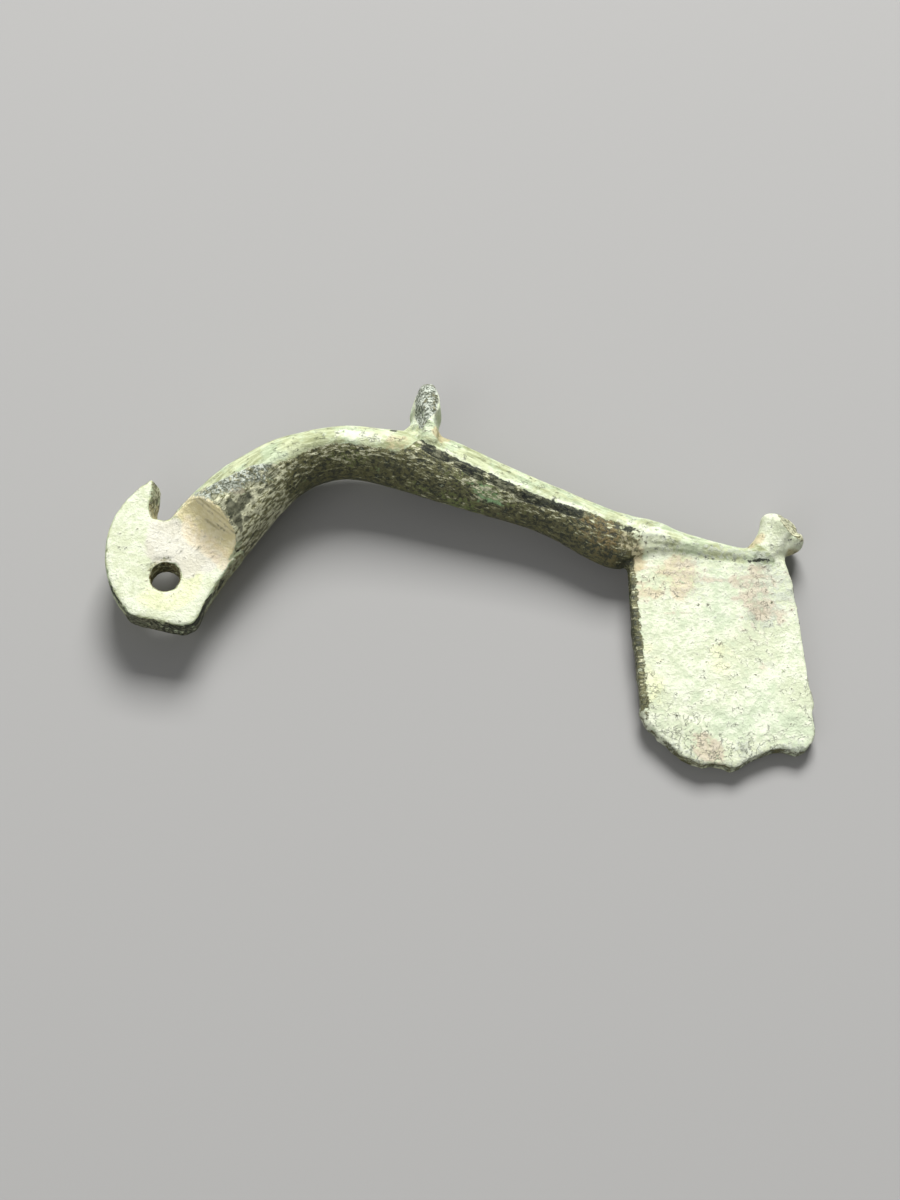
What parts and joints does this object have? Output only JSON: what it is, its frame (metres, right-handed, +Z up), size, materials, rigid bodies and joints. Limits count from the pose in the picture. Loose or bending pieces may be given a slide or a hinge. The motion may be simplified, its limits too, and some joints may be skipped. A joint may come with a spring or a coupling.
{
  "type": "fibula brooch",
  "caption": "Ancient cast bow brooch without its pin and spring: a pierced lug with a chord hook, an arched bow with an upright crest, a foot knob and a broken catchplate.",
  "frame": {"origin": "on the table, below the middle of the brooch's bounding box", "axes": "+X from the pierced head to the knobbed foot, +Y from the catchplate's broken edge up to the crest, +Z up from the table; the brooch lies on its side as it settles"},
  "size_m": [0.0496, 0.029, 0.0069],
  "materials": {
    "patinated_bronze": "matt green patina over cast bronze, dark and pitted in the hollows"
  },
  "bodies": {
    "root": {"brooch": "patinated_bronze"}
  },
  "joints": []
}
